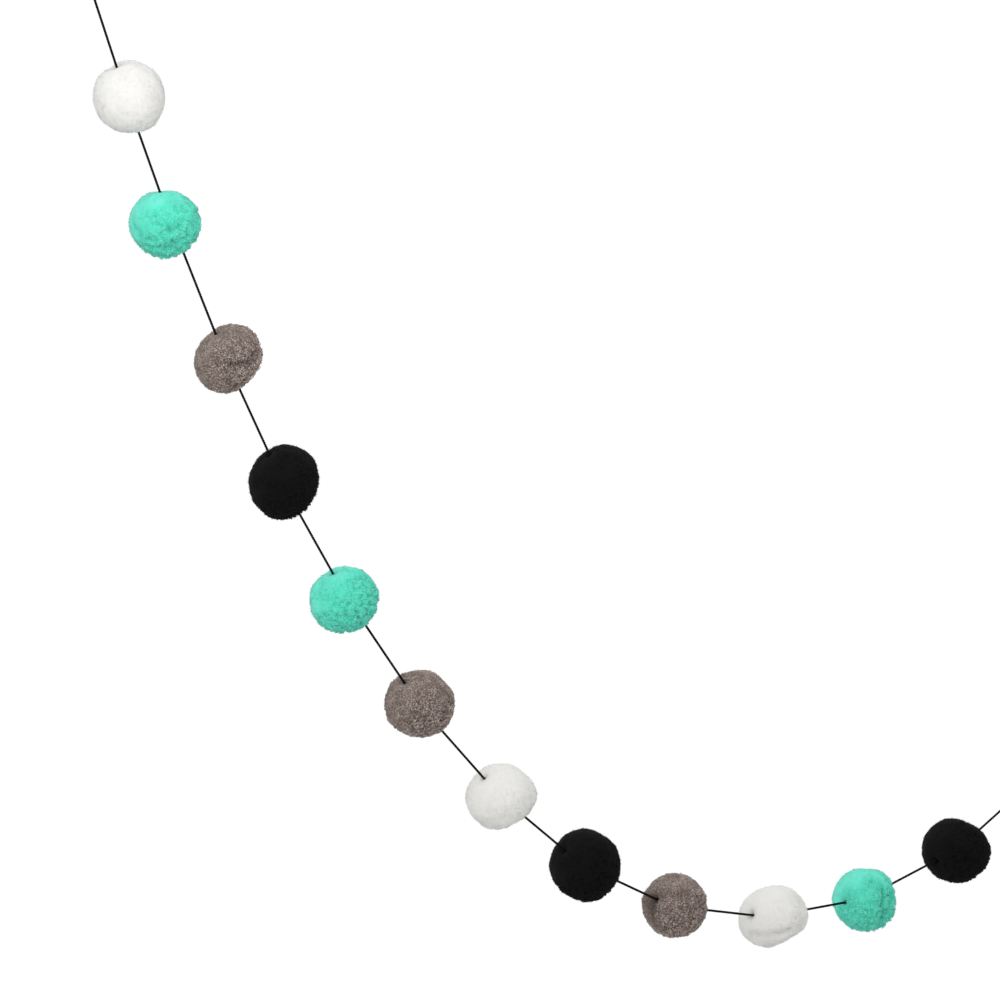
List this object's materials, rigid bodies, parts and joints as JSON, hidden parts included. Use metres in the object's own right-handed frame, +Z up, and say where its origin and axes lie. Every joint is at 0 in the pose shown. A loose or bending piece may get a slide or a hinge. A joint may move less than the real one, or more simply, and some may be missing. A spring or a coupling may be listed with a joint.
{
  "type": "pompom garland",
  "caption": "Yarn pompoms in white, mint, taupe and black, threaded on a thin black string that hangs in a slack curve between two tied end loops.",
  "frame": {"origin": "the inside of the high loop's crown, where a hook or a nail bears", "axes": "+Z up, +X along the span from the high loop to the low loop, +Y square to the upright plane that the string hangs in"},
  "size_m": [0.9645, 0.0522, 0.7275],
  "materials": {
    "white_yarn": "dense matte cut pile",
    "mint_yarn": "dense matte cut pile",
    "taupe_yarn": "dense matte cut pile",
    "black_yarn": "dense matte cut pile",
    "black_string": "twisted thread"
  },
  "bodies": {
    "root": {"pompom_01_white": "white_yarn", "pompom_02_mint": "mint_yarn", "pompom_03_taupe": "taupe_yarn", "pompom_04_black": "black_yarn", "pompom_05_mint": "mint_yarn", "pompom_06_taupe": "taupe_yarn", "pompom_07_white": "white_yarn", "pompom_08_black": "black_yarn", "pompom_09_taupe": "taupe_yarn", "pompom_10_white": "white_yarn", "pompom_11_mint": "mint_yarn", "pompom_12_black": "black_yarn", "string": "black_string", "high_knot": "black_string", "low_knot": "black_string"}
  },
  "joints": []
}
